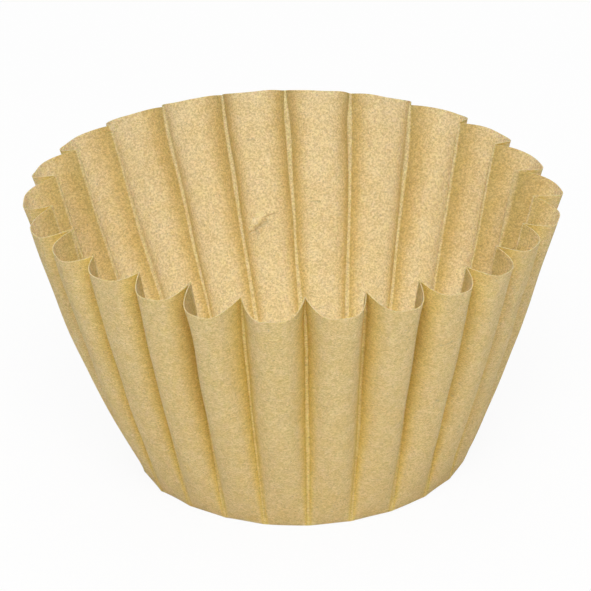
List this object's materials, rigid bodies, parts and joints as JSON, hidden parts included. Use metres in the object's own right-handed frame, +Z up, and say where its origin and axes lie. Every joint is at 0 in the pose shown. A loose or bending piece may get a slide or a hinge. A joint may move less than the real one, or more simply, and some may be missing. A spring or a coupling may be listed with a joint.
{
  "type": "paper coffee filter",
  "caption": "Flat-bottomed basket coffee filter of unbleached paper, open at the top, with a fluted wall that flares up from a round base.",
  "frame": {"origin": "middle of the flat base, on the surface it stands on", "axes": "+Z up, square to the flat base, towards the open mouth; -Y is the front, with a valley between two flutes in the middle; the limp mouth leans 5 mm towards +Y"},
  "size_m": [0.1222, 0.1211, 0.0655],
  "materials": {
    "filter_paper": "matte"
  },
  "bodies": {
    "root": {"filter": "filter_paper"}
  },
  "joints": []
}
